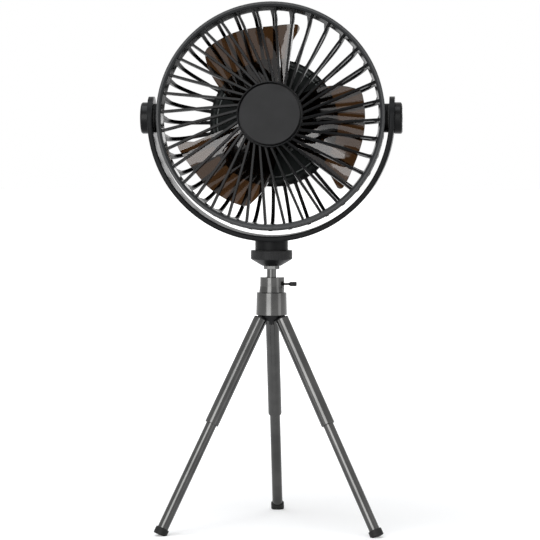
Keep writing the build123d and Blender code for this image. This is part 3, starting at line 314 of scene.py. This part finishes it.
def on_button(node):
    """A function that places points, across and up from the middle of a button, on its rear face."""
    corners = [vertex.co - PIVOT for vertex in nodes[node].data.vertices]
    depth = min(corner.dot(FORWARD) for corner in corners)
    face = [corner for corner in corners if corner.dot(FORWARD) < depth + SAME_PLANE]
    across = (max(corner.x for corner in face) + min(corner.x for corner in face)) / 2
    height = (max(corner.dot(UP) for corner in face) + min(corner.dot(UP) for corner in face)) / 2
    return lambda x, v: head_point(across + x, height + v, depth)


def arc(place, radius, start, end, steps=28):
    """Points along an arc, by clock angle in degrees."""
    angles = [radians(start + (end - start) * step / steps) for step in range(steps + 1)]
    return [place(radius * sin(a), radius * cos(a)) for a in angles]


SYMBOL_LINE = 0.0004
POWER_RADIUS = 0.0019
POWER_GAP = 38                         # degrees left open on each side of the top
POWER_STEM = (0.0006, 0.0025)
LAMP_RADIUS = 0.0009
RAY_REACH = (0.0016, 0.0024)
RAY_ANGLE = 45
place = on_button("power_button")
wires("power_symbol", "power_button", "lens",
      [arc(place, POWER_RADIUS, POWER_GAP, 360 - POWER_GAP), [place(0, v) for v in POWER_STEM]], SYMBOL_LINE)
place = on_button("light_button")
rays = [[place(reach * sin(radians(a)), reach * cos(radians(a))) for reach in RAY_REACH]
        for a in range(0, 360, RAY_ANGLE)]
wires("light_symbol", "light_button", "lens", [arc(place, LAMP_RADIUS, 0, 360)] + rays, SYMBOL_LINE)

THREAD_PITCH = 0.0005
THREAD_RADIUS = 0.0009
THREAD_LINE = 0.0003
THREAD_STEPS = 16                      # points in a turn
screw_low, screw_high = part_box("lock_screw")
screw_height = (screw_low.z + screw_high.z) / 2
thread_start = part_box("ball_housing")[1].x
thread_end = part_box("lock_knob")[0].x
turns = (thread_end - thread_start) / THREAD_PITCH
helix = []
for step in range(int(turns * THREAD_STEPS) + 1):
    angle = radians(360 / THREAD_STEPS * step)
    helix.append((thread_start + THREAD_PITCH * step / THREAD_STEPS, AXIS_Y + THREAD_RADIUS * sin(angle),
                  screw_height + THREAD_RADIUS * cos(angle)))
wires("lock_screw_thread", "lock_screw", "nickel", [helix], THREAD_LINE)

# ---------------------------------------------------------------- camera, fitted to the photograph
AZIMUTH = radians(3.963)
DISTANCE = 1.9342
HEIGHT = 0.3015
PITCH = radians(3.198)
YAW = 0.000622
FOCAL_PIXELS = 2590.3
FRAME_PIXELS = 540
SENSOR_WIDTH = 36
right = Vector((cos(AZIMUTH), sin(AZIMUTH), 0))
ahead = Vector((-sin(AZIMUTH), cos(AZIMUTH), 0))
side = right * cos(YAW) + ahead * sin(YAW)
level = ahead * cos(YAW) - right * sin(YAW)
plumb = Vector((0, 0, 1))
look = level * cos(PITCH) - plumb * sin(PITCH)
above = plumb * cos(PITCH) + level * sin(PITCH)
lens = bpy.data.cameras.new("camera")
lens.sensor_width = SENSOR_WIDTH
lens.lens = FOCAL_PIXELS / FRAME_PIXELS * SENSOR_WIDTH
camera = bpy.data.objects.new("camera", lens)
camera.matrix_world = Matrix((side, above, -look)).transposed().to_4x4()
camera.location = (DISTANCE * sin(AZIMUTH), AXIS_Y - DISTANCE * cos(AZIMUTH), HEIGHT)
scene.collection.objects.link(camera)
scene.camera = camera


# ---------------------------------------------------------------- light
def softbox(name, place, aim, width, height, power, color=(1, 1, 1)):
    """A rectangular area lamp aimed at a point; shiny surfaces mirror it as a bright band."""
    lamp = bpy.data.lights.new(name, "AREA")
    lamp.shape = "RECTANGLE"
    lamp.size = width
    lamp.size_y = height
    lamp.energy = power
    lamp.color = color
    holder = bpy.data.objects.new(name, lamp)
    holder.location = place
    holder.rotation_euler = (Vector(aim) - Vector(place)).to_track_quat("-Z", "Y").to_euler()
    scene.collection.objects.link(holder)


MIDDLE = (0, -0.02, 0.22)
softbox("key_left", (-0.75, -2.3, 0.75), MIDDLE, 1.5, 1.5, 34)
softbox("fill_right", (2.0, -0.9, 0.5), MIDDLE, 0.9, 1.6, 6)
softbox("top", (-0.4, -0.4, 2.1), MIDDLE, 1.6, 1.2, 24, (0.93, 0.96, 1.0))
softbox("back", (0.9, 2.2, 0.9), MIDDLE, 1.2, 1.2, 14)

world = bpy.data.worlds.new("studio")
scene.world = world
world.use_nodes = True
tree = world.node_tree
tree.nodes.clear()


def background_rays(tree):
    """1 for the rays that see the white background: camera, glossy and transmission."""
    path = tree.nodes.new("ShaderNodeLightPath")
    shiny = calc(tree, "MAXIMUM", path.outputs["Is Glossy Ray"], path.outputs["Is Transmission Ray"])
    return calc(tree, "MAXIMUM", path.outputs["Is Camera Ray"], shiny)


AMBIENT = 0.4                          # the world's strength as light on matt surfaces
WHITE = 1.0                            # and its strength where it is seen, also in metal and glass
backdrop = tree.nodes.new("ShaderNodeBackground")
backdrop.inputs["Color"].default_value = (1, 1, 1, 1)
tree.links.new(ramp(tree, background_rays(tree), 0, 1, AMBIENT, WHITE), backdrop.inputs["Strength"])
output = tree.nodes.new("ShaderNodeOutputWorld")
tree.links.new(backdrop.outputs[0], output.inputs["Surface"])

# ---------------------------------------------------------------- floor
SHADOW_REACH = 0.25                    # the floor shows the shadow within this distance of the tripod
FLOOR_FADE = 1.2                       # and is plain white beyond this one
FLOOR_LIFT = 0.25                      # white added where the shadow shows, low enough to keep it
FLOOR_CORNERS = [(-8, -6, 0), (8, -6, 0), (8, 10, 0), (-8, 10, 0)]
mat, tree, shader, coords = base("pale_floor")
tree.links.new(blend_colors(tree, ramp(tree, noise(tree, coords, 3), 0.3, 0.7, 0, 1), (0.8, 0.8, 0.8),
                            (0.84, 0.84, 0.84)), shader.inputs["Base Color"])
shader.inputs["Roughness"].default_value = 0.7
shader.inputs["Specular IOR Level"].default_value = 0.1
lift = ramp(tree, vector_math(tree, "LENGTH", coords), SHADOW_REACH, FLOOR_FADE, FLOOR_LIFT, WHITE)
shader.inputs["Emission Color"].default_value = (1, 1, 1, 1)
tree.links.new(calc(tree, "MULTIPLY", lift, background_rays(tree)), shader.inputs["Emission Strength"])
plane = bpy.data.meshes.new("floor")
plane.from_pydata(FLOOR_CORNERS, [], [(0, 1, 2, 3)])
plane.materials.append(mat)
floor = bpy.data.objects.new("floor", plane)
scene.collection.objects.link(floor)

scene.view_settings.view_transform = "Standard"
